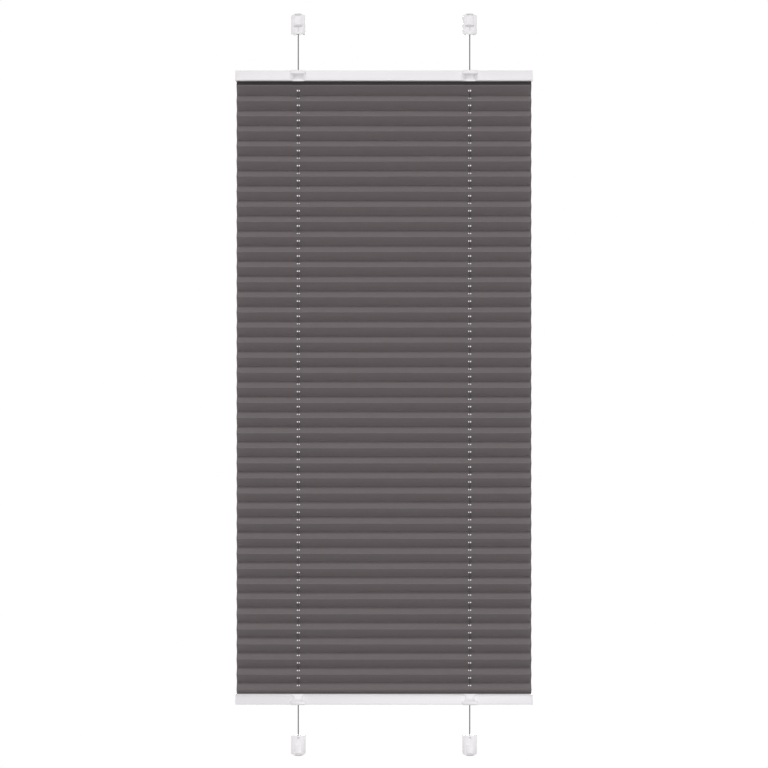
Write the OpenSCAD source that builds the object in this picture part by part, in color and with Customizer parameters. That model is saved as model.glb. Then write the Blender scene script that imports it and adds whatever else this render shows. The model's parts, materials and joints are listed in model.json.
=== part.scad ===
// Pleated blind with two sliding rails on taut cords, seen from the room along +Y.
// X runs along the rails, Z is up, and the front faces -Y.
// The origin is the middle of the four shoe screws, on the plane that the shoes are screwed to.

/* [Blind] */
// Width of a rail across its end caps
blind_w = 400; // [250:1:1200]
// Distance from each rail end to its cord
cord_inset = 84.5; // [40:0.5:140]
// Bare cord between the top shoes and the top rail
top_gap = 49.5; // [10:0.5:150]
// Bare cord between the bottom rail and the bottom shoes
bottom_gap = 42; // [10:0.5:150]
// Room between the rails and the plane that the shoes are screwed to
rail_clear = 2; // [1:0.1:8]

/* [Pleats] */
// Number of folds that point to the front
pleat_count = 41; // [5:1:100]
// Height of one pleat at full drop
pleat_pitch = 20.3; // [14:0.1:30]
// Depth of the folds from front to back
pleat_depth = 17.2; // [10:0.1:19]
// How far a front fold lies above the middle of the two back folds beside it
fold_lift = 0.95; // [0:0.05:2]
// Height from a rail to the front fold nearest to it
end_drop = 6.25; // [4:0.05:12]
// Height over which the cloth leaves a rail before it bends to its first fold
cloth_neck = 1; // [0.4:0.1:2.5]
// Thickness of the pleated cloth
cloth_t = 0.4; // [0.2:0.05:0.8]
// How far the cloth stops short of the rail ends
cloth_inset = 1.6; // [1.6:0.1:10]
// Diameter of the holes punched for the cords
punch_d = 3.7; // [2.4:0.1:6]

/* [Rails] */
// Height of a rail
rail_h = 14; // [12.5:0.1:25]
// Depth of a rail from front to back
rail_d = 21; // [18:0.1:30]
// Wall of the rail profile
rail_wall = 1.2; // [0.8:0.1:1.6]
// Radius of the two outer edges of a rail
rail_edge_r = 1; // [0.3:0.1:2]
// Height of the clip bead along both faces of a rail
bead_h = 2; // [1:0.1:3]
// How far the clip bead stands proud
bead_rise = 0.5; // [0.2:0.05:0.9]
// Middle of the clip bead above the cloth side of the rail
bead_level = 1.4; // [1:0.1:3]
// Thickness of the ribs between the strip groove and the main chamber
rib_t = 1; // [0.6:0.1:1.6]
// How far each rib reaches into the rail
rib_reach = 4.3; // [2:0.1:6]
// Thickness of an end cap outside its rail
cap_t = 1.5; // [0.8:0.1:4]
// Length of the plug that holds an end cap
plug_l = 10; // [4:0.5:25]
// Wall of the hollow plug
plug_wall = 1.5; // [0.8:0.1:2.5]

/* [Cloth strips] */
// Thickness of the clamp strip that slides in the rail
strip_t = 1.2; // [0.8:0.1:2]
// Thickness of each jaw of the clamp strip
jaw_t = 1.2; // [0.6:0.1:2]
// How far the jaws stay back from the mouth of the slot
jaw_back = 0.2; // [0:0.05:0.6]

/* [Cords and guides] */
// Diameter of a tension cord
cord_d = 1.4; // [0.8:0.1:1.4]
// Length of a cord guide along its rail
guide_l = 20; // [12:0.5:40]
// How far each crossing cord lies from the middle of the rail
cross_offset = 2.2; // [1.7:0.1:4]
// Outer diameter of a bush where it passes the rail wall
bush_d = 4.4; // [3.4:0.1:6]
// Length of a bush below its flange
bush_l = 4.2; // [2:0.1:5]
// Diameter of a bush flange
bush_flange_d = 6.4; // [5:0.1:10]
// Thickness of a bush flange
bush_flange_t = 0.7; // [0.4:0.1:1.5]

/* [Finger grips] */
// Width of a grip at its lip
grip_w = 20.4; // [16:0.1:30]
// Width of a grip at its waist
grip_waist = 11; // [8:0.1:15]
// Width of a grip at its foot
grip_foot = 16; // [12:0.1:16]
// Height of the waist above the cloth side of the rail
waist_level = 4.6; // [3:0.1:6]
// How far the lip stands out from the rail
grip_reach = 6.5; // [4:0.1:9]
// Thickness of the lip at its tip
grip_lip = 4.7; // [3:0.1:6]
// Thickness of the grip at its foot
grip_base = 1.4; // [0.9:0.1:2.4]
// Height of the foot below the finger scoop
foot_h = 1.5; // [0.5:0.1:2.5]
// How far the finger scoop is hollowed below a straight slope
scoop_sag = 0.6; // [0.2:0.1:1.5]
// Radius of the tip of the lip
tip_r = 1.6; // [0.4:0.1:2]
// Radius of the two corners of the lip, seen from the front
grip_corner_r = 2; // [0.5:0.1:3]
// How far the lip stands past the outer edge of the rail
lip_over = 0.3; // [0:0.1:2]
// Thickness of the hook round the cloth side of the rail
hook_t = 0.5; // [0.5:0.1:1.5]
// How far the hook reaches under the rail
hook_l = 3.5; // [1:0.1:6]

/* [Tension shoes] */
// Width of a shoe
shoe_w = 19; // [16:0.1:30]
// Length of a shoe along the cord
shoe_l = 28; // [27:0.1:45]
// Rise of the rounded outer end of a shoe
dome_rise = 3.5; // [1.5:0.1:6]
// Rise of the crowned front of a shoe across its width
crown_rise = 1.95; // [0.8:0.05:2.2]
// Radius of the front edge at the outer end, seen from the side
nose_r = 5; // [2:0.1:9]
// Radius of the two corners at the inner end
shoe_corner_r = 1.2; // [0.4:0.1:1.4]
// Wall of the cover round its rim
cover_wall = 1.5; // [1.2:0.1:2]
// Wall of the cover at the crest of its front
cover_front = 4.4; // [2.4:0.1:5]
// Thickness of the base plate
plate_t = 3; // [2.5:0.1:5]
// Diameter of the screw hole in the base plate
screw_d = 4; // [3:0.1:5]
// Diameter of the countersink of the screw hole
sink_d = 8; // [6:0.1:10]
// Depth of the countersink
sink_h = 1.8; // [1:0.1:2.2]
// Distance from the inner end of the shoe to its screw
screw_at = 17.5; // [17:0.1:20]
// Width of the post that holds the cord
post_w = 11; // [6:0.1:13]
// Length of the post that holds the cord
post_l = 7.8; // [5:0.1:9]
// Diameter of the knot at a cord end
knot_d = 3.5; // [2.6:0.1:5]
// Length of the knot at a cord end
knot_l = 2.8; // [2:0.1:3.4]
// Width of the crossbar of the T-shaped recess in an upper cover
crossbar_w = 12; // [7:0.1:13]
// Width of the stem of the T-shaped recess
stem_w = 2.2; // [1.6:0.1:4]
// Material left between the stem and the inner end
stem_start = 3.9; // [2.5:0.1:6]
// Wall between the T-shaped recess and the knot behind it
recess_wall = 0.7; // [0.5:0.1:1]
// Width of the notch where a screwdriver lifts an upper cover
notch_w = 8; // [4:0.1:10]
// Height of the notch, at the end of the raised panel
notch_h = 2; // [1:0.1:2.2]
// Depth of the notch
notch_depth = 1.8; // [0.8:0.1:2]
// Diameter of the round dimple in a lower cover
dimple_d = 3.6; // [2:0.1:5]
// Distance from the inner end to the middle of the dimple
dimple_at = 4; // [3:0.1:6]
// Depth of the dimple
dimple_depth = 1.2; // [0.5:0.1:1.5]
// Width of the raised panel
panel_w = 10; // [5:0.1:12]
// How far the raised panel stands proud
panel_rise = 0.7; // [0.3:0.1:1.2]
// Radius of the snap ridges along the base plate
ridge_r = 0.6; // [0.4:0.05:0.7]
// Length of the snap ridges
ridge_l = 9; // [4:0.5:14]

/* [Clearances] */
// Between a cord and a hole that guides it
cord_gap = 0.3; // [0.15:0.05:0.6]
// Between parts that slide into a rail
slide_gap = 0.2; // [0.1:0.05:0.4]
// Between parts that snap or plug together
snap_gap = 0.15; // [0.05:0.05:0.3]
// Between the cloth and the jaws that hold it
cloth_gap = 0.1; // [0.05:0.05:0.3]

/* [Hidden] */
$fn = 64;
cut = 1;
inner_corner_r = 0.2;
punch_sides = 12;

drop = (pleat_count - 1) * pleat_pitch + 2 * end_drop;
overall_h = 2 * shoe_l + top_gap + bottom_gap + 2 * rail_h + drop;
cord_x = blind_w / 2 - cord_inset;
cord_out = rail_d / 2 + rail_clear;
shoe_z = overall_h / 2 - shoe_l;
top_edge_z = shoe_z - top_gap - rail_h;
bottom_edge_z = top_edge_z - drop;
cord_hole_d = cord_d + 2 * cord_gap;

cloth_w = blind_w - 2 * cloth_inset;
face_slope = atan2(pleat_pitch / 2, pleat_depth);
fold_shift = cloth_t / 2 / sin(face_slope);
jaw_in = cloth_t / 2 + cloth_gap;
slot_half = jaw_in + jaw_t + slide_gap;

rail_l = blind_w - 2 * cap_t;
inner_half = rail_d / 2 - rail_wall;
groove_top = rail_wall + strip_t + slide_gap;
chamber_low = groove_top + rib_t;
chamber_high = rail_h - rail_wall;
bead_r = arc_radius(bead_h, bead_rise);
cross_level = (chamber_low + rail_h - bush_l) / 2;

lip_top = rail_h + lip_over;
tip_level = lip_top - grip_lip;
scoop_run = grip_reach - grip_base;
scoop_rise = tip_level - foot_h;
scoop_turn = atan2(scoop_rise, scoop_run);
scoop_r = arc_radius(norm([scoop_run, scoop_rise]), scoop_sag);
waist_cut = (grip_w - grip_waist) / 2;
waist_r = arc_radius(2 * (tip_level - waist_level), waist_cut);

dome_r = arc_radius(shoe_w, dome_rise);
dome_z = shoe_l - dome_r;
crown_r = arc_radius(shoe_w, crown_rise);
ceiling = cord_out + cord_d / 2 + snap_gap;
shoe_d = ceiling + cover_front;
post_start = cover_wall + snap_gap;
knot_z = post_start + post_l;
pocket_z = knot_z - cord_gap;
panel_z = knot_z + knot_l + cord_gap;
pocket_w = knot_d + 2 * cord_gap;
pocket_front = cord_out + pocket_w / 2;
recess_floor = pocket_front + recess_wall;
panel_end = shoe_l - dome_rise;
cord_end = shoe_z + knot_z;

rail_white = [0.93, 0.92, 0.93];
plastic_white = [0.91, 0.91, 0.91];
cloth_grey = [0.38, 0.36, 0.37];
cord_grey = [0.13, 0.13, 0.14];

// Radius of the arc with this chord and this rise
function arc_radius(chord, rise) = (chord * chord / 4 + rise * rise) / (2 * rise);

// Height of the front fold i, counted from the top
function front_fold_z(i) = top_edge_z - end_drop - i * pleat_pitch;

// Where the straight sides of a shoe outline end, for an outline set in by this much
function side_end(inset) = dome_z + sqrt(pow(dome_r - inset, 2) - pow(shoe_w / 2 - inset, 2));

// Puts a part of a rail in place. In a rail z counts from its cloth side outwards, and the bottom
// rail is the top one turned over.
module in_top_rail() {
    translate([0, -cord_out, top_edge_z])
        children();
}

module in_bottom_rail() {
    translate([0, -cord_out, bottom_edge_z])
        rotate([0, 180, 0])
            children();
}

// Puts a part of a shoe in place. In a shoe z counts from its inner end outwards, and the bottom
// shoes are the top ones turned over.
module in_top_shoe(side) {
    translate([side * cord_x, 0, shoe_z])
        children();
}

module in_bottom_shoe(side) {
    translate([side * cord_x, 0, -shoe_z])
        rotate([0, 180, 0])
            children();
}

// A drawing of depth and height, drawn out along a rail
module along_x(length) {
    rotate([90, 0, 90])
        linear_extrude(length, center = true)
            children();
}

// A drawing of width and height, drawn out to the front between two distances from the back plane
module to_front(from, to) {
    translate([0, -from, 0])
        rotate([90, 0, 0])
            linear_extrude(to - from)
                children();
}

// A drawing of distance to the front and height, drawn out along a shoe's width
module across_shoe(width) {
    rotate([90, 0, -90])
        linear_extrude(width, center = true)
            children();
}

// A rectangle centred on the first axis that starts at a given height
module block2d(width, low, high) {
    translate([-width / 2, low])
        square([width, high - low]);
}

// The rectangle with its two upper corners rounded
module round_topped2d(width, low, high, r) {
    block2d(width, low, high - r);
    block2d(width - 2 * r, low, high);
    for (side = [-1, 1])
        translate([side * (width / 2 - r), high - r])
            circle(r);
}

// Outside of the rail profile: rounded outer edges and a clip bead on each face
module rail_outline() {
    round_topped2d(rail_d, 0, rail_h, rail_edge_r);
    bead_outline(0);
}

module bead_outline(gap) {
    for (side = [-1, 1])
        translate([side * (rail_d / 2 + bead_rise - bead_r), bead_level])
            circle(bead_r + gap);
}

module rail() {
    color(rail_white)
        difference() {
            along_x(rail_l)
                difference() {
                    rail_outline();
                    block2d(2 * slot_half, -cut, rail_wall + cut);
                    block2d(2 * inner_half, rail_wall, groove_top);
                    block2d(2 * (inner_half - rib_reach), rail_wall, chamber_low + cut);
                    block2d(2 * inner_half, chamber_low, chamber_high);
                }
            at_cords()
                translate([0, 0, chamber_high - cut])
                    cylinder(d = bush_d + snap_gap, h = rail_wall + 2 * cut);
        }
}

module at_cords() {
    for (side = [-1, 1])
        translate([side * cord_x, 0, 0])
            children();
}

// End cap with a hollow plug that fills the main chamber
module rail_cap(side) {
    plug_low = chamber_low + slide_gap;
    plug_high = chamber_high - slide_gap;
    plug_half = inner_half - slide_gap;
    color(plastic_white)
        translate([side * rail_l / 2, 0, 0]) {
            translate([side * cap_t / 2, 0, 0])
                along_x(cap_t)
                    rail_outline();
            translate([-side * plug_l / 2, 0, 0])
                along_x(plug_l)
                    difference() {
                        block2d(2 * plug_half, plug_low, plug_high);
                        block2d(2 * (plug_half - plug_wall), plug_low + plug_wall, plug_high - plug_wall);
                    }
        }
}

// Strip that clamps the cloth edge between two jaws and slides in the rail's groove
module cloth_strip() {
    color(plastic_white)
        difference() {
            along_x(cloth_w) {
                block2d(2 * (inner_half - slide_gap), rail_wall, rail_wall + strip_t);
                for (side = [-1, 1])
                    translate([side * (jaw_in + jaw_t / 2), 0])
                        block2d(jaw_t, jaw_back, rail_wall + strip_t / 2);
            }
            at_cords()
                translate([0, 0, -cut])
                    cylinder(d = punch_d, h = groove_top + 2 * cut);
        }
}

// Moulded block that leads a cord down through the rail and across it
module cord_guide(side) {
    high = chamber_high - slide_gap;
    color(plastic_white)
        translate([side * cord_x, 0, 0])
            difference() {
                along_x(guide_l)
                    block2d(2 * (inner_half - slide_gap), chamber_low, high);
                translate([0, 0, chamber_low - cut])
                    cylinder(d = cord_hole_d, h = high - chamber_low + 2 * cut);
                translate([0, 0, rail_h - bush_l - slide_gap])
                    cylinder(d = bush_d + snap_gap, h = bush_l);
                for (face = [-1, 1])
                    translate([0, face * cross_offset, cross_level])
                        rotate([0, 90, 0])
                            cylinder(d = cord_hole_d, h = guide_l + 2 * cut, center = true);
            }
}

// Flanged bush that leads a cord through the rail's outer wall and locks its guide
module cord_bush(side) {
    color(plastic_white)
        translate([side * cord_x, 0, rail_h])
            difference() {
                union() {
                    cylinder(d = bush_flange_d, h = bush_flange_t);
                    translate([0, 0, -bush_l])
                        cylinder(d = bush_d, h = bush_l);
                }
                translate([0, 0, -bush_l - cut])
                    cylinder(d = cord_hole_d, h = bush_l + bush_flange_t + 2 * cut);
            }
}

// The stretch of cord that crosses from one guide to the other
module crossing_cord(face) {
    color(cord_grey)
        translate([0, face * cross_offset, cross_level])
            rotate([0, 90, 0])
                cylinder(d = cord_d, h = 2 * cord_x, center = true);
}

// Room for a fingertip under the lip, drawn as distance from the rail and height
module finger_scoop() {
    free = grip_reach + cut;
    polygon([
        [grip_base, -hook_t - cut], [free, -hook_t - cut], [free, tip_level],
        [grip_reach, tip_level], [grip_base, foot_h]
    ]);
    intersection() {
        translate([grip_base + scoop_run / 2, foot_h + scoop_rise / 2])
            rotate(scoop_turn - 90)
                translate([scoop_r - scoop_sag, 0])
                    circle(scoop_r, $fn = 96);
        translate([0, foot_h])
            square([free, scoop_rise]);
    }
}

// Side profile of a grip: a scooped lip, and a hook round the cloth side of the rail
module grip_profile() {
    front = rail_d / 2;
    difference() {
        translate([-front - grip_reach, -hook_t])
            square([grip_reach + hook_l, lip_top + hook_t]);
        translate([-front, 0])
            square([hook_l + cut, lip_top + cut]);
        translate([-front, 0])
            mirror([1, 0])
                finger_scoop();
        bead_outline(snap_gap);
        translate([-front - grip_reach - cut, lip_top - tip_r])
            square([tip_r + cut, tip_r + cut]);
    }
    translate([-front - grip_reach + tip_r, lip_top - tip_r])
        circle(tip_r);
}

// Waisted front view of a grip
module grip_outline() {
    difference() {
        union() {
            round_topped2d(grip_w, waist_level, lip_top, grip_corner_r);
            block2d(grip_foot, -hook_t, tip_level);
        }
        for (side = [-1, 1])
            translate([side * (grip_waist / 2 + waist_r), waist_level])
                circle(waist_r, $fn = 96);
    }
}

// Finger grip that clips over the front bead of a rail
module grip(side) {
    color(plastic_white)
        translate([side * cord_x, 0, 0])
            intersection() {
                along_x(grip_w)
                    grip_profile();
                to_front(-rail_d, rail_d)
                    grip_outline();
            }
}

// Front view of a shoe, set in all round: straight sides and a domed outer end
module shoe_outline(inset) {
    width = shoe_w - 2 * inset;
    r = max(shoe_corner_r - inset, inner_corner_r);
    block2d(width, inset + r, side_end(inset));
    block2d(width - 2 * r, inset, inset + 2 * r);
    for (side = [-1, 1])
        translate([side * (width / 2 - r), inset + r])
            circle(r);
    intersection() {
        translate([0, dome_z])
            circle(dome_r - inset, $fn = 128);
        block2d(width, side_end(inset), shoe_l);
    }
}

// Side view of a cover, with a round front edge at the outer end
module cover_side() {
    square([shoe_d + panel_rise, shoe_l - nose_r]);
    square([shoe_d + panel_rise - nose_r, shoe_l]);
    translate([shoe_d + panel_rise - nose_r, shoe_l - nose_r])
        circle(nose_r);
}

// Crowned front across the width, as a long cylinder that bounds the cover
module crown(r) {
    translate([0, r - shoe_d, -cut])
        cylinder(r = r, h = shoe_l + 2 * cut, $fn = 128);
}

// Base plate with its screw hole, and the forked post that the cord pulls its knot against
module shoe_base() {
    rim = cover_wall + snap_gap;
    ridge_y = -plate_t / 2;
    color(plastic_white)
        difference() {
            union() {
                to_front(0, plate_t)
                    shoe_outline(rim);
                to_front(plate_t / 2, ceiling - snap_gap)
                    block2d(post_w, post_start, knot_z);
                for (side = [-1, 1])
                    translate([side * (shoe_w / 2 - rim), ridge_y, screw_at - ridge_l / 2])
                        cylinder(r = ridge_r, h = ridge_l);
            }
            translate([0, cut, screw_at])
                rotate([90, 0, 0])
                    cylinder(d = screw_d, h = plate_t + 2 * cut);
            translate([0, sink_h - plate_t, screw_at])
                rotate([90, 0, 0])
                    cylinder(d1 = screw_d, d2 = sink_d, h = sink_h);
            to_front(cord_out - cord_hole_d / 2, shoe_d)
                block2d(cord_hole_d, 0, knot_z + cut);
        }
}

// Clip-on cover: a crowned shell with a raised panel and a pocket for the knot. An upper cover has a
// T-shaped recess over the knot and a notch that lifts it off, a lower one a round dimple.
module shoe_cover(upper) {
    groove_r = ridge_r + snap_gap;
    groove_l = ridge_l + 2 * snap_gap;
    color(plastic_white)
        difference() {
            intersection() {
                union() {
                    intersection() {
                        to_front(snap_gap, shoe_d + panel_rise)
                            shoe_outline(0);
                        crown(crown_r);
                    }
                    to_front(ceiling, shoe_d + panel_rise)
                        intersection() {
                            block2d(panel_w, panel_z, panel_end);
                            shoe_outline(cover_wall);
                        }
                }
                across_shoe(shoe_w + 2 * cut)
                    cover_side();
            }
            to_front(-cut, ceiling)
                shoe_outline(cover_wall);
            to_front(ceiling - cut, pocket_front)
                block2d(pocket_w, pocket_z, panel_z);
            if (upper) {
                to_front(recess_floor, shoe_d + panel_rise + cut) {
                    block2d(stem_w, stem_start, knot_z);
                    block2d(crossbar_w, pocket_z, panel_z);
                }
                to_front(shoe_d - notch_depth, shoe_d + panel_rise + cut)
                    block2d(notch_w, panel_end, panel_end + notch_h);
            } else {
                to_front(shoe_d - dimple_depth, shoe_d + cut)
                    translate([0, dimple_at])
                        circle(d = dimple_d);
            }
            translate([0, -cord_out, -cut])
                cylinder(d = cord_hole_d, h = cover_wall + 2 * cut);
            for (side = [-1, 1])
                translate([side * (shoe_w / 2 - cover_wall), -plate_t / 2, screw_at - groove_l / 2])
                    cylinder(r = groove_r, h = groove_l);
        }
}

// Knot that stops a cord end behind the post
module cord_knot() {
    color(cord_grey)
        translate([0, -cord_out, knot_z + knot_l / 2])
            intersection() {
                sphere(d = knot_d);
                cylinder(d = knot_d, h = knot_l, center = true);
            }
}

// Cord that runs straight from the knot above to the knot below
module tension_cord(side) {
    color(cord_grey)
        translate([side * cord_x, -cord_out, -cord_end])
            cylinder(d = cord_d, h = 2 * cord_end);
}

// Middle line of the cloth from rail to rail: each entry is depth, height and half the thickness
// measured to the front
function cloth_line() = concat(
    [[0, top_edge_z + rail_wall - cloth_gap, cloth_t / 2]],
    [[0, top_edge_z - cloth_neck, cloth_t / 2]],
    [
        for (i = [0 : pleat_count - 1])
            for (back = [0 : i < pleat_count - 1 ? 1 : 0])
                back == 0
                    ? [-pleat_depth / 2, front_fold_z(i), fold_shift]
                    : [pleat_depth / 2, front_fold_z(i) - pleat_pitch / 2 - fold_lift, fold_shift]
    ],
    [[0, bottom_edge_z + cloth_neck, cloth_t / 2]],
    [[0, bottom_edge_z - rail_wall + cloth_gap, cloth_t / 2]]
);

// One folded sheet with a row of punched holes along each cord
module pleated_cloth() {
    line = cloth_line();
    last = len(line) - 1;
    front = [for (p = line) [p[0] - p[2], p[1]]];
    back = [for (i = [last : -1 : 0]) [line[i][0] + line[i][2], line[i][1]]];
    color(cloth_grey)
        translate([0, -cord_out, 0])
            difference() {
                along_x(cloth_w)
                    polygon(concat(front, back));
                at_cords()
                    translate([0, 0, bottom_edge_z - rail_h])
                        cylinder(d = punch_d, h = drop + 2 * rail_h, $fn = punch_sides);
            }
}

in_top_shoe(-1) shoe_base();  // top_left_shoe_base
in_top_shoe(1) shoe_base();  // top_right_shoe_base
in_bottom_shoe(-1) shoe_base();  // bottom_left_shoe_base
in_bottom_shoe(1) shoe_base();  // bottom_right_shoe_base
in_top_shoe(-1) shoe_cover(true);  // top_left_shoe_cover
in_top_shoe(1) shoe_cover(true);  // top_right_shoe_cover
in_bottom_shoe(-1) shoe_cover(false);  // bottom_left_shoe_cover
in_bottom_shoe(1) shoe_cover(false);  // bottom_right_shoe_cover
in_top_shoe(-1) cord_knot();  // top_left_cord_knot
in_top_shoe(1) cord_knot();  // top_right_cord_knot
in_bottom_shoe(-1) cord_knot();  // bottom_left_cord_knot
in_bottom_shoe(1) cord_knot();  // bottom_right_cord_knot
tension_cord(-1);  // left_tension_cord
tension_cord(1);  // right_tension_cord
in_top_rail() rail();  // top_rail
in_top_rail() rail_cap(-1);  // top_rail_left_cap
in_top_rail() rail_cap(1);  // top_rail_right_cap
in_top_rail() cloth_strip();  // top_cloth_strip
in_top_rail() cord_guide(-1);  // top_left_cord_guide
in_top_rail() cord_guide(1);  // top_right_cord_guide
in_top_rail() cord_bush(-1);  // top_left_cord_bush
in_top_rail() cord_bush(1);  // top_right_cord_bush
in_top_rail() grip(-1);  // top_left_grip
in_top_rail() grip(1);  // top_right_grip
in_top_rail() crossing_cord(-1);  // top_front_crossing_cord
in_top_rail() crossing_cord(1);  // top_back_crossing_cord
in_bottom_rail() rail();  // bottom_rail
in_bottom_rail() rail_cap(1);  // bottom_rail_left_cap
in_bottom_rail() rail_cap(-1);  // bottom_rail_right_cap
in_bottom_rail() cloth_strip();  // bottom_cloth_strip
in_bottom_rail() cord_guide(1);  // bottom_left_cord_guide
in_bottom_rail() cord_guide(-1);  // bottom_right_cord_guide
in_bottom_rail() cord_bush(1);  // bottom_left_cord_bush
in_bottom_rail() cord_bush(-1);  // bottom_right_cord_bush
in_bottom_rail() grip(1);  // bottom_left_grip
in_bottom_rail() grip(-1);  // bottom_right_grip
in_bottom_rail() crossing_cord(-1);  // bottom_front_crossing_cord
in_bottom_rail() crossing_cord(1);  // bottom_back_crossing_cord
pleated_cloth();
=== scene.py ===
import json
import math

import bmesh
import bpy
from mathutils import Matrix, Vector


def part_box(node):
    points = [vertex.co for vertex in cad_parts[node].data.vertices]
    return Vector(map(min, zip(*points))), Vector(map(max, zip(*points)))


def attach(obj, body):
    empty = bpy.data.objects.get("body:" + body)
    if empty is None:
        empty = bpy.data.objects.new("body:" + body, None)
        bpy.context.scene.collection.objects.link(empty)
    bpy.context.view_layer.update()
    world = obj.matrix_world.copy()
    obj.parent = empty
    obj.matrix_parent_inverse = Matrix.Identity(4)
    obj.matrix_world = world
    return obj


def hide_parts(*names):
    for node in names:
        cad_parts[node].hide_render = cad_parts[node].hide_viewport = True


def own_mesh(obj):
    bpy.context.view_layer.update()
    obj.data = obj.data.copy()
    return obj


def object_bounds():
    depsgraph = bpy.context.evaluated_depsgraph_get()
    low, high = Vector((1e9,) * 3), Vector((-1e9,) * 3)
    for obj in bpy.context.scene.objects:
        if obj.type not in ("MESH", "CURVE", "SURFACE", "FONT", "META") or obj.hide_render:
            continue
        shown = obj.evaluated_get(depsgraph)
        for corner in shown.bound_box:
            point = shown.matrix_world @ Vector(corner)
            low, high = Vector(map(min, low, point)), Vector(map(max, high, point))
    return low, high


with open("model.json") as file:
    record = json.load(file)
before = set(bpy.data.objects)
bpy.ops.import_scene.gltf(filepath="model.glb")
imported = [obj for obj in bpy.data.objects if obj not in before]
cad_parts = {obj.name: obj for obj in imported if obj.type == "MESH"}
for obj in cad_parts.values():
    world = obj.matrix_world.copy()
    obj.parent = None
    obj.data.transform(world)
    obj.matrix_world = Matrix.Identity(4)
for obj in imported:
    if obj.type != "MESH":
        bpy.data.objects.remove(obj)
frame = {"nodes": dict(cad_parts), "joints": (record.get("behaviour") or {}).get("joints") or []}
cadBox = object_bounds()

scene = bpy.context.scene
print("frame loaded:", len(frame["nodes"]), "nodes")


# Camera straight in front, at the height where the picture has its middle
photoCamera = {
    "imageSize": 768,        # pixels, square
    "mmPerPixel": 1.3443,    # at the fronts of the rails
    "levelRow": 384.75,      # image row at the height z = 0
    "distance": 5.2,         # metres to the fronts of the rails
    "sensor": 36.0,          # mm
    "clipEnd": 100.0,
}


def placeCamera(values):
    metresPerPixel = values["mmPerPixel"] / 1000
    data = bpy.data.cameras.new("photoCamera")
    data.sensor_width = values["sensor"]
    data.lens = values["sensor"] * values["distance"] / (values["imageSize"] * metresPerPixel)
    data.clip_end = values["clipEnd"]
    camera = bpy.data.objects.new("photoCamera", data)
    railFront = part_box("top_rail")[0].y
    height = (values["levelRow"] - values["imageSize"] / 2) * metresPerPixel
    camera.location = (0, railFront - values["distance"], height)
    camera.rotation_euler = (math.radians(90), 0, 0)
    scene.collection.objects.link(camera)
    scene.camera = camera


placeCamera(photoCamera)
print("camera placed")


# Node trees: sockets that take part in Python arithmetic
class Wire:
    def __init__(self, board, socket):
        self.board = board
        self.socket = socket

    def out(self, name):
        return Wire(self.board, self.socket.node.outputs[name])

    def calc(self, operation, *others):
        return self.board.maths(operation, self, *others)

    def __add__(self, other):
        return self.board.maths("ADD", self, other)

    def __radd__(self, other):
        return self.board.maths("ADD", other, self)

    def __sub__(self, other):
        return self.board.maths("SUBTRACT", self, other)

    def __rsub__(self, other):
        return self.board.maths("SUBTRACT", other, self)

    def __mul__(self, other):
        return self.board.maths("MULTIPLY", self, other)

    def __rmul__(self, other):
        return self.board.maths("MULTIPLY", other, self)

    def __truediv__(self, other):
        return self.board.maths("DIVIDE", self, other)

    def __rtruediv__(self, other):
        return self.board.maths("DIVIDE", other, self)


class NodeBoard:
    def __init__(self, tree):
        self.tree = tree

    # Adds any node: its settings first, then the values or links of its sockets
    def add(self, kind, settings=None, sockets=None, out=0):
        node = self.tree.nodes.new(kind)
        for name, value in (settings or {}).items():
            if name == "stops":
                self.setStops(node.color_ramp, value)
            else:
                setattr(node, name, value)
        for key, value in (sockets or {}).items():
            for item in value if isinstance(value, list) else [value]:
                if isinstance(item, Wire):
                    self.tree.links.new(item.socket, node.inputs[key])
                else:
                    node.inputs[key].default_value = item
        return Wire(self, node.outputs[out]) if node.outputs else None

    def setStops(self, ramp, stops):
        while len(ramp.elements) < len(stops):
            ramp.elements.new(1)
        for element, (place, shade) in zip(ramp.elements, stops):
            element.position = place
            element.color = (shade, shade, shade, 1)

    def maths(self, operation, *values):
        return self.add("ShaderNodeMath", {"operation": operation}, dict(enumerate(values)))

    def vector(self, x, y, z):
        return self.add("ShaderNodeCombineXYZ", sockets={0: x, 1: y, 2: z})

    def noise(self, vector, scale, detail=2.0, roughness=0.5):
        sockets = {"Vector": vector, "Scale": scale, "Detail": detail, "Roughness": roughness}
        return self.add("ShaderNodeTexNoise", {"noise_dimensions": "3D"}, sockets)

    def ramp(self, value, *stops):
        return self.add("ShaderNodeValToRGB", {"stops": stops}, {"Fac": value})

    def mixColour(self, share, first, second):
        settings = {"data_type": "RGBA", "blend_type": "MIX"}
        return self.add("ShaderNodeMix", settings, {0: share, 6: first, 7: second}, out=2)

    def tint(self, colour, amount):
        settings = {"data_type": "RGBA", "blend_type": "MULTIPLY"}
        grey = self.add("ShaderNodeCombineColor", sockets={0: amount, 1: amount, 2: amount})
        return self.add("ShaderNodeMix", settings, {0: 1.0, 6: colour, 7: grey}, out=2)


def openMaterial(name):
    material = bpy.data.materials.new(name)
    material.use_nodes = True
    material.node_tree.nodes.clear()
    return material, NodeBoard(material.node_tree)


def closeMaterial(board, sockets):
    shader = board.add("ShaderNodeBsdfPrincipled", sockets=sockets)
    board.add("ShaderNodeOutputMaterial", sockets={"Surface": shader})


def objectPoint(board):
    return board.add("ShaderNodeTexCoord", out="Object")


def bumped(board, height, strength, distance):
    sockets = {"Height": height, "Strength": strength, "Distance": distance}
    return board.add("ShaderNodeBump", sockets=sockets)


# White powder coat: fine orange peel, faint draw lines along the extrusion
powderCoat = {
    "colour": (0.892, 0.868, 0.892, 1),
    "shade": (0.850, 0.828, 0.850, 1),
    "peelScale": 900.0,
    "drawScale": 1400.0,
    "drawStretch": 0.012,    # draw lines run along the rail
    "cloudScale": 14.0,
    "cloudShare": 0.35,      # how much of the shade the clouds and the draw lines bring in
    "drawShare": 0.25,
    "roughness": (0.34, 0.46),
    "bump": (0.16, 0.00012), # strength, and height in metres
}


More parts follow.
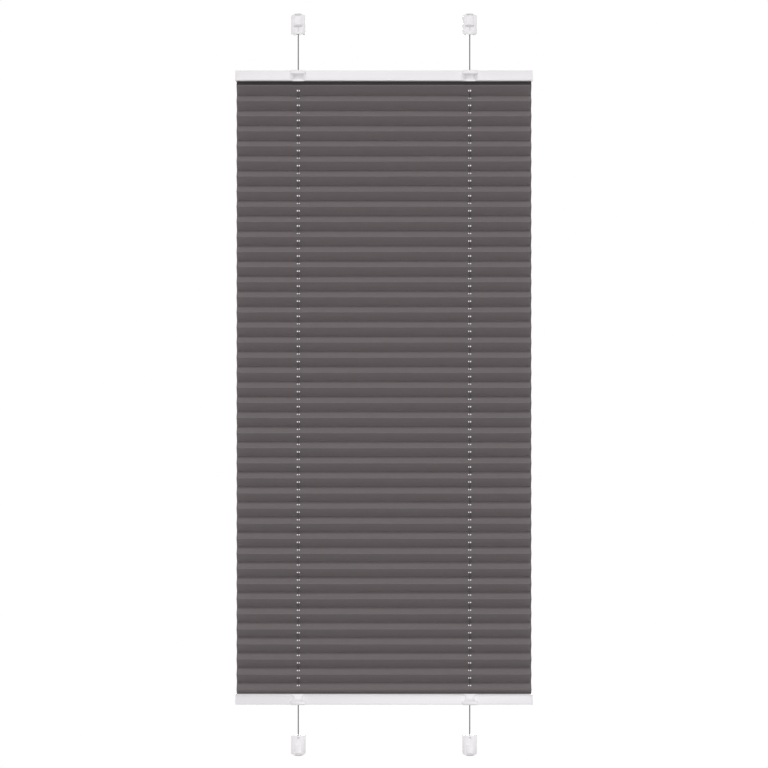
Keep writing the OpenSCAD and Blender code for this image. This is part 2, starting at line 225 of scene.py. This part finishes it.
def makePowderCoat(values):
    material, board = openMaterial("whitePowderCoat")
    place = objectPoint(board)
    parts = board.add("ShaderNodeSeparateXYZ", sockets={0: place})
    x, y, z = (parts.out(axis) for axis in "XYZ")
    peel = board.noise(place, values["peelScale"], 2.0)
    drawn = board.noise(board.vector(x * values["drawStretch"], y, z), values["drawScale"], 1.0)
    cloudy = board.noise(place, values["cloudScale"], 3.0)
    share = cloudy * values["cloudShare"] + drawn * values["drawShare"]
    colour = board.mixColour(share, values["colour"], values["shade"])
    low, high = values["roughness"]
    closeMaterial(board, {
        "Base Color": colour,
        "Roughness": low + (high - low) * (peel * 0.6 + drawn * 0.4),
        "Normal": bumped(board, peel + drawn * 0.35, *values["bump"]),
        "Coat Roughness": 0.3,
        "IOR": 1.48,
    })
    return material


# White moulded plastic: spark-eroded grain and a little flow shading
mouldedPlastic = {
    "colour": (0.908, 0.884, 0.908, 1),
    "shade": (0.850, 0.828, 0.850, 1),
    "grainScale": 2600.0,
    "flowScale": 60.0,
    "flowShare": 0.6,
    "roughness": (0.36, 0.52),
    "recessPaintedShade": 0.22,     # painted shade on the recess floors of the shoe covers
    "bump": (0.08, 0.00006), # strength, and height in metres
}


def makeMouldedPlastic(name, values):
    material, board = openMaterial(name)
    place = objectPoint(board)
    grain = board.noise(place, values["grainScale"], 3.0, 0.6)
    flow = board.noise(place, values["flowScale"], 3.0)
    colour = board.mixColour(flow * values["flowShare"], values["colour"], values["shade"])
    # painted shade on the marked recess floors of the shoe covers, standing in for the shade they lie in
    recess = board.add("ShaderNodeAttribute", {"attribute_name": "recess"}, out="Fac")
    colour = board.tint(colour, 1 - recess * values["recessPaintedShade"])
    low, high = values["roughness"]
    closeMaterial(board, {
        "Base Color": colour,
        "Roughness": low + (high - low) * grain,
        "Normal": bumped(board, grain, *values["bump"]),
        "IOR": 1.5,
    })
    return material


# Woven anthracite polyester: plain weave, slubs, worn creases and sealed cut edges, painted shade on the
# upper end under the rail, paler again as the folds close up, and a little paler where a fold lies deep:
# painted light against the shade in the valleys, which evens out the two faces of a pleat
clothWeave = {
    "warp": (0.223, 0.195, 0.201, 1),
    "weft": (0.180, 0.158, 0.164, 1),
    "thread": 0.00036,       # metres from thread to thread
    "slub": (2600.0, 40.0),  # noise across a thread and along it
    "mottle": 60.0,
    "edgeBand": 0.0013,      # sealed edge
    "creaseBand": 0.0006,
    "railShadow": (0.0, 0.0026),   # metres above the first fold over which the upper end darkens with painted shade, the shadow of the rail above it
    "railShadowStrength": 0.6,
    "depthLevel": (0.89, 1.13),  # painted light: level at a fold that stands out and at one that lies deep in shade
    "pressed": (0.93, 0.985),    # upright part of the normal while the folds close up
    "pressedPaintedLight": 2.2,          # painted light on closed folds: they lie edge to edge, which the thin squashed sheet can't fill, so its narrow gaps fall into deep shade
    "bump": (0.35, 0.00005),     # strength, and height in metres
    "sheen": 0.12,
}


def makeClothWeave(values, sheet):
    material, board = openMaterial("anthraciteWeave")
    flat = board.add("ShaderNodeUVMap", {"uv_map": "UVMap"})
    parts = board.add("ShaderNodeSeparateXYZ", sockets={0: flat})
    u, v = parts.out("X"), parts.out("Y")
    across, along = u / values["thread"], v / values["thread"]
    warpRound = (across * math.pi).calc("SINE").calc("ABSOLUTE")
    weftRound = (along * math.pi).calc("SINE").calc("ABSOLUTE")
    parity = (across.calc("FLOOR") + along.calc("FLOOR")).calc("FLOORED_MODULO", 2.0)
    height = parity * warpRound + (1 - parity) * weftRound
    fine, long = values["slub"]
    warpSlub = board.noise(board.vector(u * fine, v * long, 0.0), 1.0, 2.0)
    weftSlub = board.noise(board.vector(u * long, v * fine, 3.0), 1.0, 2.0)
    slub = parity * warpSlub + (1 - parity) * weftSlub
    mottle = board.noise(board.vector(u * values["mottle"], v * values["mottle"], 7.0), 1.0, 3.0)
    edge = board.ramp((sheet["halfWidth"] - u.calc("ABSOLUTE")) / values["edgeBand"], (0.45, 1), (1, 0))
    step = v.calc("FLOORED_MODULO", sheet["period"])
    toFold = step.calc("MINIMUM", sheet["period"] - step)
    toFold = toFold.calc("MINIMUM", (step - sheet["frontFace"]).calc("ABSOLUTE"))
    crease = board.ramp(toFold / values["creaseBand"], (0.2, 1), (1, 0))
    normal = board.add("ShaderNodeNewGeometry", out="True Normal")
    facing = board.add("ShaderNodeSeparateXYZ", sockets={0: normal})
    # painted light, paler where a fold lies deep, against the shade in the valleys on either side of the
    # sheet
    toBack = (step / sheet["frontFace"]).calc("MINIMUM", (sheet["period"] - step) / sheet["backFace"])
    sunk = (facing.out("Y").calc("GREATER_THAN", 0.0) - toBack).calc("ABSOLUTE")
    shallow, deep = values["depthLevel"]
    # painted light as the folds close up, against the deep shade between them
    opened, closed = values["pressed"]
    pressed = (facing.out("Z").calc("ABSOLUTE") - opened) / (closed - opened)
    pressed = board.ramp(pressed, (0, 0), (1, 1))
    colour = board.mixColour(parity * 0.75 + slub * 0.25, values["weft"], values["warp"])
    level = 0.84 + slub * 0.2 + mottle * 0.12 + crease * 0.05
    level = level * (shallow + (deep - shallow) * sunk) * (1 + pressed * values["pressedPaintedLight"])
    # painted shadow of the upper rail on the end of the cloth just below it
    start, full = values["railShadow"]
    railShadow = board.ramp((0 - v - start) / (full - start), (0, 0), (1, 1))
    colour = board.tint(colour, level * (1 - edge * 0.35) * (1 - railShadow * values["railShadowStrength"]))
    closeMaterial(board, {
        "Base Color": colour,
        "Roughness": 0.92 - height * 0.16 - crease * 0.1,
        "Normal": bumped(board, height + slub * 0.4, *values["bump"]),
        "Specular IOR Level": 0.3,
        "Sheen Weight": values["sheen"],
        "Sheen Roughness": 0.5,
    })
    return material


# Braided polyester cord
cordBraid = {
    "light": (0.104, 0.099, 0.101, 1),
    "dark": (0.058, 0.055, 0.056, 1),
    "strands": 8.0,
    "lay": 0.0016,           # metres along the cord for one strand width
    "fuzz": (40.0, 9000.0),  # noise round the cord and along it
    "bump": (0.6, 0.00008),  # strength, and height in metres
}


def makeCordBraid(values):
    material, board = openMaterial("cordBraid")
    flat = board.add("ShaderNodeUVMap", {"uv_map": "UVMap"})
    parts = board.add("ShaderNodeSeparateXYZ", sockets={0: flat})
    girth, length = parts.out("X"), parts.out("Y")
    turn, along = girth * values["strands"], length / values["lay"] * 2
    left = ((turn + along) * math.pi).calc("SINE").calc("ABSOLUTE")
    right = ((turn - along) * math.pi).calc("SINE").calc("ABSOLUTE")
    height = left.calc("MAXIMUM", right)
    aroundScale, alongScale = values["fuzz"]
    fuzz = board.noise(board.vector(girth * aroundScale, length * alongScale, 0.0), 1.0, 2.0)
    colour = board.mixColour(height * 0.7 + fuzz * 0.3, values["dark"], values["light"])
    closeMaterial(board, {
        "Base Color": colour,
        "Roughness": 0.8 - height * 0.2,
        "Normal": bumped(board, height + fuzz * 0.3, *values["bump"]),
        "Specular IOR Level": 0.3,
    })
    return material


railWhite = makePowderCoat(powderCoat)
plasticWhite = makeMouldedPlastic("whitePlastic", mouldedPlastic)
braidDark = makeCordBraid(cordBraid)
print("rigid and cord materials made")


def newPiece(name, mesh, material):
    piece = bpy.data.objects.new(name, mesh)
    scene.collection.objects.link(piece)
    mesh.materials.clear()
    mesh.materials.append(material)
    return piece


# Turns the evaluated object into a plain mesh and takes its modifiers off
def bakePiece(piece):
    graph = bpy.context.evaluated_depsgraph_get()
    mesh = bpy.data.meshes.new_from_object(
        piece.evaluated_get(graph), preserve_all_data_layers=True, depsgraph=graph)
    piece.modifiers.clear()
    piece.data = mesh
    return piece


def settle(piece, body, slotName, *nodes):
    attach(piece, body)
    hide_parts(*nodes)


# Tube along a line of points, with turns round it and metres along it as its UV map
def tubeMesh(name, points, radius, sides, closed=False):
    shape = bmesh.new()
    uvLayer = shape.loops.layers.uv.new("UVMap")
    count = len(points)
    rings, lengths, total = [], [], 0.0
    side = Vector((1, 0, 0))
    for i, point in enumerate(points):
        before = points[i - 1] if i > 0 or closed else point
        after = points[(i + 1) % count] if i < count - 1 or closed else point
        along = (after - before).normalized()
        side = (side - along * side.dot(along)).normalized()
        up = along.cross(side)
        ring = []
        for k in range(sides):
            angle = 2 * math.pi * k / sides
            spoke = math.cos(angle) * side + math.sin(angle) * up
            ring.append(shape.verts.new(point + radius * spoke))
        if i > 0:
            total += (point - points[i - 1]).length
        rings.append(ring)
        lengths.append(total)
    spans = [(i, i + 1) for i in range(count - 1)]
    if closed:
        spans.append((count - 1, 0))
        lengths.append(total + (points[0] - points[-1]).length)
    for low, high in spans:
        highLength = lengths[low + 1]
        for k in range(sides):
            nextK = (k + 1) % sides
            start, end = rings[low], rings[high]
            face = shape.faces.new((start[k], start[nextK], end[nextK], end[k]))
            face.smooth = True
            corners = ((k, lengths[low]), (k + 1, lengths[low]), (k + 1, highLength), (k, highLength))
            for loop, (turn, height) in zip(face.loops, corners):
                loop[uvLayer].uv = (turn / sides, height)
    if not closed:
        shape.faces.new(list(reversed(rings[0])))
        shape.faces.new(rings[-1])
    mesh = bpy.data.meshes.new(name)
    shape.to_mesh(mesh)
    shape.free()
    return mesh


# Tension cords, taut from knot to knot
tensionCord = {
    "diameter": 0.0014,
    "sides": 12,
    "rings": 241,
}
knotShape = {
    "strand": 0.00058,       # radius of the cord in the knot
    "points": 96,
    "sides": 10,
}


def makeKnot(name, node, values):
    low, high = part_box(node)
    middle = (low + high) / 2
    wide = ((high.x - low.x) / 2 - values["strand"]) / 3
    tall = (high.z - low.z) / 2 - values["strand"]
    points = []
    for i in range(values["points"]):
        t = 2 * math.pi * i / values["points"]
        points.append(middle + Vector((
            wide * (math.sin(t) + 2 * math.sin(2 * t)),
            wide * (math.cos(t) - 2 * math.cos(2 * t)),
            -tall * math.sin(3 * t))))
    mesh = tubeMesh(name, points, values["strand"], values["sides"], closed=True)
    knot = newPiece(name, mesh, braidDark)
    settle(knot, "window_fittings", "cord_braid", node)
    return knot


def makeCord(side, values):
    node = side + "_tension_cord"
    low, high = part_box(node)
    middle = (low + high) / 2
    count = values["rings"]
    step = (high.z - low.z) / (count - 1)
    points = [Vector((middle.x, middle.y, high.z - step * i)) for i in range(count)]
    mesh = tubeMesh(side + "TensionCord", points, values["diameter"] / 2, values["sides"])
    cord = newPiece(side + "TensionCord", mesh, braidDark)
    settle(cord, "window_fittings", "cord_braid", node)
    knots = [makeKnot(f"{end}{side.title()}Knot", f"{end}_{side}_cord_knot", knotShape)
             for end in ("top", "bottom")]


for side in ("left", "right"):
    makeCord(side, tensionCord)
print("cords and knots made")


# Pleated cloth: a flat cut with punched holes, folded by a node tree
cloth = {
    "pitch": 0.0203,         # height of one pleat
    "depth": 0.0172,         # front fold to back fold
    "lift": 0.00095,         # front folds above the middle of the back folds beside them
    "endDrop": 0.00625,      # rail to the front fold nearest to it
    "neck": 0.001,           # straight stretch below a rail
    "tuck": 0.0011,          # stretch clamped inside a rail
    "thickness": 0.0003,
    "creaseRound": 0.02,     # rounding of a crease, as a share of the depth
    "hole": 0.004,           # diameter seen along the cord
    "holeSides": 24,
    "holePatch": 0.005,      # half of the square of faces round a hole
    "columnStep": 0.011,
    "creaseRows": (0.00025, 0.0006, 0.0012),
    "wobble": 0.0005,        # unevenness of the folds
    "wobbleUp": (7.0, 28.0), # its waves per metre across and down the cloth, up and down
    "wobbleOut": (16.0, 25.0),   # and in and out
    "weld": 0.00002,
    "pinchDrop": 0.0012,     # sag of the first back fold at the cords
    "pinchWidth": 0.010,
    "seed": 11.0,
    "sharpAngle": 50.0,      # degrees from which a crease shades as an edge
}


def sheetFrame(values):
    low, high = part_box("pleated_cloth")
    cordLow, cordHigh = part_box("right_tension_cord")
    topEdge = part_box("top_rail")[0].z
    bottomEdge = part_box("bottom_rail")[1].z
    frontDrop = values["pitch"] / 2 + values["lift"]
    backDrop = values["pitch"] / 2 - values["lift"]
    frontFace = math.hypot(values["depth"], frontDrop)
    backFace = math.hypot(values["depth"], backDrop)
    flapDrop = values["endDrop"] - values["neck"]
    return {
        "halfWidth": (high.x - low.x) / 2,
        "cordX": (cordLow.x + cordHigh.x) / 2,
        "cordY": (cordLow.y + cordHigh.y) / 2,
        "topEdge": topEdge,
        "bottomEdge": bottomEdge,
        "pleats": round((topEdge - bottomEdge - 2 * values["endDrop"]) / values["pitch"]),
        "frontDrop": frontDrop,
        "backDrop": backDrop,
        "frontFace": frontFace,
        "backFace": backFace,
        "period": frontFace + backFace,
        "flapDrop": flapDrop,
        "flap": math.hypot(values["depth"] / 2, flapDrop),
        "straight": values["neck"] + values["tuck"],
    }


sheet = sheetFrame(cloth)
weaveDark = makeClothWeave(clothWeave, sheet)


# One pleat laid flat, with an end flap before and after it: u across, v down the cloth
def flatCut(values, sheet):
    shape = bmesh.new()
    patch = values["holePatch"]
    columns = []
    stops = [-sheet["halfWidth"]]
    for centre in (-sheet["cordX"], sheet["cordX"]):
        stops += [centre - patch, centre, centre + patch]
    stops.append(sheet["halfWidth"])
    for left, right in zip(stops, stops[1:]):
        steps = max(1, round((right - left) / values["columnStep"]))
        columns += [left + (right - left) * i / steps for i in range(steps)]
    columns.append(sheet["halfWidth"])

    def rowsOf(start, length):
        near = list(values["creaseRows"])
        middle = [length / 2 - patch, length / 2, length / 2 + patch]
        return [start + r for r in [0.0] + near + middle + [length - r for r in reversed(near)]]

    flapEnd = sheet["flap"] + sheet["straight"]
    flapRows = [0.0, *values["creaseRows"], sheet["flap"] / 2, sheet["flap"] * 0.9, sheet["flap"], flapEnd]
    rows = [-r for r in reversed(flapRows[1:])]
    rows += rowsOf(0.0, sheet["frontFace"]) + rowsOf(sheet["frontFace"], sheet["backFace"])
    rows += [sheet["period"] + r for r in flapRows]
    grid = {}

    def corner(i, j):
        if (i, j) not in grid:
            grid[i, j] = shape.verts.new((columns[i], rows[j], 0))
        return grid[i, j]

    holes = []
    faces = ((sheet["frontFace"] / 2, sheet["frontFace"]),
             (sheet["frontFace"] + sheet["backFace"] / 2, sheet["backFace"]))
    for centre in (-sheet["cordX"], sheet["cordX"]):
        for middle, length in faces:
            i = min(range(len(columns)), key=lambda n: abs(columns[n] - centre))
            j = min(range(len(rows)), key=lambda n: abs(rows[n] - middle))
            holes.append((i, j, values["hole"] / 2 * length / values["depth"]))
    taken = {(i + a, j + b) for i, j, half in holes for a in (-1, 0) for b in (-1, 0)}
    for i in range(len(columns) - 1):
        for j in range(len(rows) - 1):
            if (i, j) not in taken:
                shape.faces.new((corner(i, j), corner(i + 1, j), corner(i + 1, j + 1), corner(i, j + 1)))
    around = ((-1, -1), (0, -1), (1, -1), (1, 0), (1, 1), (0, 1), (-1, 1), (-1, 0))
    share = values["holeSides"] // len(around)
    for i, j, half in holes:
        ring = []
        for k in range(values["holeSides"]):
            angle = math.radians(225) + 2 * math.pi * k / values["holeSides"]
            u = columns[i] + values["hole"] / 2 * math.cos(angle)
            ring.append(shape.verts.new((u, rows[j] + half * math.sin(angle), 0)))
        for k, (a, b) in enumerate(around):
            c, d = around[(k + 1) % len(around)]
            rim = [ring[(share * k + n) % values["holeSides"]] for n in range(share, -1, -1)]
            shape.faces.new([corner(i + a, j + b), corner(i + c, j + d)] + rim)
    mesh = bpy.data.meshes.new("pleatedCloth")
    shape.to_mesh(mesh)
    shape.free()
    return mesh


def openTree(name, sockets):
    tree = bpy.data.node_groups.new(name, "GeometryNodeTree")
    for label, kind in sockets.items():
        tree.interface.new_socket(label, in_out="INPUT", socket_type=kind)
    tree.interface.new_socket("Geometry", in_out="OUTPUT", socket_type="NodeSocketGeometry")
    board = NodeBoard(tree)
    source = board.add("NodeGroupInput")
    return board, {label: source.out(label) for label in sockets}


def foldTree(values):
    sizes = ("Pleats", "Period", "Front face", "Back face", "Front drop", "Back drop", "Depth", "Rounding",
             "Flap", "Flap drop", "First fold", "Middle depth", "Wobble", "Pinch drop", "Pinch width",
             "Cord place", "Seed")
    sockets = {"Cut": "NodeSocketGeometry", **{label: "NodeSocketFloat" for label in sizes},
               "Material": "NodeSocketMaterial"}
    board, given = openTree("pleatFold", sockets)
    flat = board.add("ShaderNodeSeparateXYZ", sockets={0: board.add("GeometryNodeInputPosition")})
    v = flat.out("Y")
    before = board.add("GeometryNodeSeparateGeometry", {"domain": "FACE"},
                       {"Geometry": given["Cut"], "Selection": v.calc("LESS_THAN", 0.0)})
    past = v.calc("GREATER_THAN", given["Period"])
    after = board.add("GeometryNodeSeparateGeometry", {"domain": "FACE"},
                      {"Geometry": before.out("Inverted"), "Selection": past})
    places = board.add("GeometryNodeMeshLine", {"mode": "OFFSET"},
                       {"Count": given["Pleats"], "Offset": board.vector(0.0, given["Period"], 0.0)})
    pleats = board.add("GeometryNodeInstanceOnPoints",
                       sockets={"Points": places, "Instance": after.out("Inverted")})
    shift = board.vector(0.0, (given["Pleats"] - 1) * given["Period"], 0.0)
    lastFlap = board.add("GeometryNodeTransform", sockets={"Geometry": after, "Translation": shift})
    strip = board.add("GeometryNodeJoinGeometry", sockets={"Geometry": [before, pleats, lastFlap]})
    strip = board.add("GeometryNodeRealizeInstances", sockets={"Geometry": strip})
    strip = board.add("GeometryNodeMergeByDistance", sockets={"Geometry": strip, "Distance": values["weld"]})
    place = board.add("GeometryNodeInputPosition")
    strip = board.add("GeometryNodeStoreNamedAttribute", {"data_type": "FLOAT2", "domain": "CORNER"},
                      {"Geometry": strip, "Name": "UVMap", "Value": place})

    # Where a point of the flat cut goes: a rounded zigzag, and a flap at either end
    here = board.add("ShaderNodeSeparateXYZ", sockets={0: place})
    u, v = here.out("X"), here.out("Y")
    whole = given["Pleats"] * given["Period"]
    inside = v.calc("MAXIMUM", 0.0).calc("MINIMUM", whole)
    pleat = (inside / given["Period"]).calc("FLOOR")
    step = inside - pleat * given["Period"]
    toBack = (step / given["Front face"]).calc("MINIMUM", (given["Period"] - step) / given["Back face"])
    frontRound = (toBack * toBack + given["Rounding"] * given["Rounding"]).calc("SQRT")
    backRound = ((1 - toBack) * (1 - toBack) + given["Rounding"] * given["Rounding"]).calc("SQRT")
    swing = frontRound - backRound + 1 - toBack
    firstDrop = step / given["Front face"] * given["Front drop"]
    nextDrop = given["Front drop"] + (step - given["Front face"]) / given["Back face"] * given["Back drop"]
    drop = pleat * (given["Front drop"] + given["Back drop"]) + firstDrop.calc("MINIMUM", nextDrop)
    above = (0 - v).calc("MAXIMUM", 0.0)
    below = (v - whole).calc("MAXIMUM", 0.0)
    over = above + below
    flapShare = (over / given["Flap"]).calc("MINIMUM", 1.0)
    rise = flapShare * given["Flap drop"] + (over - given["Flap"]).calc("MAXIMUM", 0.0)
    rise = rise * (above - below).calc("SIGN")

    # Unevenness, none at the rails, and the sag of the first back fold beside the cords
    calm = 1 - flapShare
    across, down = values["wobbleUp"]
    upward = board.noise(board.vector(u * across, v * down, given["Seed"]), 1.0, 1.0) - 0.5
    across, down = values["wobbleOut"]
    outward = board.noise(board.vector(u * across, v * down, given["Seed"] + 5), 1.0, 1.0) - 0.5
    beside = (u.calc("ABSOLUTE") - given["Cord place"]) / given["Pinch width"]
    pinch = (0 - beside * beside).calc("EXPONENT")
    firstBack = (1 - (v - given["Front face"]).calc("ABSOLUTE") / given["Back face"]).calc("MAXIMUM", 0.0)
    y = given["Middle depth"] + given["Depth"] * (swing + flapShare * 0.5 - 0.5)
    y = y + calm * outward * given["Wobble"]
    z = given["First fold"] - drop + rise + calm * upward * given["Wobble"]
    z = z - pinch * firstBack * given["Pinch drop"]
    strip = board.add("GeometryNodeSetPosition",
                      sockets={"Geometry": strip, "Position": board.vector(u, y, z)})
    strip = board.add("GeometryNodeRealizeInstances", sockets={"Geometry": strip})
    strip = board.add("GeometryNodeSetMaterial", sockets={"Geometry": strip, "Material": given["Material"]})
    board.add("NodeGroupOutput", sockets={"Geometry": strip})
    return board.tree


def setInputs(modifier, values):
    for item in modifier.node_group.interface.items_tree:
        if item.in_out == "INPUT" and item.name in values:
            modifier[item.identifier] = values[item.name]


def makeCloth(values, sheet):
    piece = newPiece("pleatedCloth", flatCut(values, sheet), weaveDark)
    fold = piece.modifiers.new("fold", "NODES")
    fold.node_group = foldTree(values)
    setInputs(fold, {
        "Pleats": float(sheet["pleats"]),
        "Period": sheet["period"],
        "Front face": sheet["frontFace"],
        "Back face": sheet["backFace"],
        "Front drop": sheet["frontDrop"],
        "Back drop": sheet["backDrop"],
        "Depth": values["depth"],
        "Rounding": values["creaseRound"],
        "Flap": sheet["flap"],
        "Flap drop": sheet["flapDrop"],
        "First fold": sheet["topEdge"] - values["endDrop"],
        "Middle depth": sheet["cordY"],
        "Wobble": values["wobble"],
        "Pinch drop": values["pinchDrop"],
        "Pinch width": values["pinchWidth"],
        "Cord place": sheet["cordX"],
        "Seed": values["seed"],
        "Material": weaveDark,
    })
    thick = piece.modifiers.new("thickness", "SOLIDIFY")
    thick.thickness = values["thickness"]
    thick.offset = 0
    bakePiece(piece)
    piece.data.polygons.foreach_set("use_smooth", [True] * len(piece.data.polygons))
    piece.data.set_sharp_from_angle(angle=math.radians(values["sharpAngle"]))
    settle(piece, "upper_rail", "anthracite_cloth", "pleated_cloth")
    travel = next(j for j in frame["joints"] if j["name"] == "lower_rail_slide")["range_m"][1]
    1 - travel / (sheet["topEdge"] - sheet["bottomEdge"])
    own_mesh(piece)
    length = sheet["pleats"] * sheet["period"] + 2 * (sheet["flap"] + sheet["straight"])
    2 * sheet["halfWidth"]
    print("cloth made:", len(piece.data.polygons), "faces, cut", round(length, 4), "m long")


makeCloth(cloth, sheet)


# Rigid pieces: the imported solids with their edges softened
softEdges = {
    "rail": 0.00025,
    "cap": 0.0003,
    "grip": 0.0002,
    "cover": 0.00025,
    "angle": 40.0,           # degrees from which an edge is softened
    "segments": 2,
    "weld": 0.000002,
    "flat": 1.0,             # degrees up to which neighbouring triangles are one face
    "recessDepth": 0.0170,   # metres from the window, short of the crowned front
    "recessFacing": 0.999,
    "hook": 0.0003,          # how far a grip may stand past its rail
}


def softenedCopy(node, name, width, material):
    shape = bmesh.new()
    shape.from_mesh(frame["nodes"][node].data)
    bmesh.ops.remove_doubles(shape, verts=shape.verts, dist=softEdges["weld"])
    flat = math.radians(softEdges["flat"])
    bmesh.ops.dissolve_limit(shape, angle_limit=flat, verts=shape.verts, edges=shape.edges)
    mesh = bpy.data.meshes.new(name)
    shape.to_mesh(mesh)
    shape.free()
    mesh.polygons.foreach_set("use_smooth", [True] * len(mesh.polygons))
    piece = newPiece(name, mesh, material)
    bevel = piece.modifiers.new("edges", "BEVEL")
    bevel.limit_method = "ANGLE"
    bevel.angle_limit = math.radians(softEdges["angle"])
    bevel.width = width
    bevel.segments = softEdges["segments"]
    bevel.use_clamp_overlap = False
    bevel.harden_normals = True
    return bakePiece(piece)


# Marks the flat floors that lie below the crowned front of a shoe cover, where the plastic gets painted
# shade
def markRecesses(piece, values):
    mesh = piece.data
    mark = mesh.attributes.new("recess", "FLOAT", "FACE")
    for face in mesh.polygons:
        sunk = face.center.y > -values["recessDepth"] and face.normal.y < -values["recessFacing"]
        mark.data[face.index].value = float(sunk)


# Thins a grip's hooks past the rail, so that the closed folds clear them
def trimHook(piece, rail, values):
    low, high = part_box(rail)
    points = [vertex.co for vertex in piece.data.vertices]
    above = values["hook"] / max(values["hook"], max(point.z for point in points) - high.z)
    below = values["hook"] / max(values["hook"], low.z - min(point.z for point in points))
    for point in points:
        if point.z > high.z:
            point.z = high.z + (point.z - high.z) * above
        elif point.z < low.z:
            point.z = low.z - (low.z - point.z) * below


for end, body in (("top", "upper_rail"), ("bottom", "lower_rail")):
    rail = softenedCopy(end + "_rail", end + "Rail", softEdges["rail"], railWhite)
    settle(rail, body, "rail_white", end + "_rail")
    for side in ("left", "right"):
        for form, node, carrier in (("cap", f"{end}_rail_{side}_cap", body),
                                    ("grip", f"{end}_{side}_grip", body),
                                    ("cover", f"{end}_{side}_shoe_cover", "window_fittings")):
            name = end + side.title() + form.title()
            piece = softenedCopy(node, name, softEdges[form], plasticWhite)
            if form == "cover":
                markRecesses(piece, softEdges)
            if form == "grip":
                trimHook(piece, end + "_rail", softEdges)
            settle(piece, carrier, "white_plastic", node)
print("rails, caps, grips and shoe covers made")

innerMaterials = {
    "cord_guide": plasticWhite,
    "cord_bush": plasticWhite,
    "cloth_strip": plasticWhite,
    "shoe_base": plasticWhite,
    "crossing_cord": braidDark,
}
for name, node in frame["nodes"].items():
    for ending, material in innerMaterials.items():
        if name.endswith(ending):
            node.data.materials.clear()
            node.data.materials.append(material)
print("inner pieces painted")


# Pale floor, soft light and a white ground
stage = {
    "floorGap": 0.35,        # metres below the lowest point
    "floorSize": 60.0,
    "floorColour": (0.66, 0.66, 0.66, 1),
    "floorWhite": 0.74,      # share of plain white that the camera sees on the floor under the part
    "floorFade": (0.4, 2.6),   # metres from the part over which the floor goes to plain white
    "ambient": 0.27,
    "front": {"place": (0.0, -5.6, -0.3), "size": (3.0, 0.9), "power": 100.0},
    "key": {"place": (0.0, -19.5, 21.9), "size": (10.8, 10.8), "power": 3180.0},
    "back": {"place": (0.0, 5.5, 0.75), "size": (2.5, 1.6), "power": 140.0},
}


# One for camera, glossy and transmission rays, which see plain white
def seenDirectly(board):
    path = board.add("ShaderNodeLightPath")
    direct = path.out("Is Camera Ray").calc("MAXIMUM", path.out("Is Glossy Ray"))
    return direct.calc("MAXIMUM", path.out("Is Transmission Ray"))


def makeFloor(values):
    mesh = bpy.data.meshes.new("floor")
    half = values["floorSize"] / 2
    height = cadBox[0].z - values["floorGap"]
    corners = [(x, y, height) for x, y in ((-half, -half), (half, -half), (half, half), (-half, half))]
    mesh.from_pydata(corners, [], [(0, 1, 2, 3)])
    material, board = openMaterial("floorPaint")
    parts = board.add("ShaderNodeSeparateXYZ", sockets={0: objectPoint(board)})
    x, y = parts.out("X"), parts.out("Y")
    near, far = values["floorFade"]
    away = ((x * x + y * y).calc("SQRT") - near) / (far - near)
    share = values["floorWhite"] + (1 - values["floorWhite"]) * board.ramp(away, (0, 0), (1, 1))
    paint = board.add("ShaderNodeBsdfDiffuse", sockets={"Color": values["floorColour"]})
    white = board.add("ShaderNodeEmission", sockets={"Color": (1, 1, 1, 1), "Strength": 1.0})
    mix = board.add("ShaderNodeMixShader", sockets={0: seenDirectly(board) * share, 1: paint, 2: white})
    board.add("ShaderNodeOutputMaterial", sockets={"Surface": mix})
    newPiece("floor", mesh, material)


def makeWorld(values):
    world = bpy.data.worlds.new("studio")
    world.use_nodes = True
    world.node_tree.nodes.clear()
    board = NodeBoard(world.node_tree)
    plain = {"Color": (1, 1, 1, 1)}
    soft = board.add("ShaderNodeBackground", sockets={**plain, "Strength": values["ambient"]})
    white = board.add("ShaderNodeBackground", sockets={**plain, "Strength": 1.0})
    mix = board.add("ShaderNodeMixShader", sockets={0: seenDirectly(board), 1: soft, 2: white})
    board.add("ShaderNodeOutputWorld", sockets={"Surface": mix})
    scene.world = world


def makeLamp(name, values):
    data = bpy.data.lights.new(name, "AREA")
    data.shape = "RECTANGLE"
    data.size, data.size_y = values["size"]
    data.energy = values["power"]
    lamp = bpy.data.objects.new(name, data)
    lamp.visible_camera = False
    lamp.location = values["place"]
    lamp.rotation_euler = (-Vector(values["place"])).to_track_quat("-Z", "Y").to_euler()
    scene.collection.objects.link(lamp)


makeFloor(stage)
makeWorld(stage)
for lampName in ("front", "key", "back"):
    makeLamp(lampName + "Lamp", stage[lampName])
scene.view_settings.view_transform = "Standard"
print("stage lit")
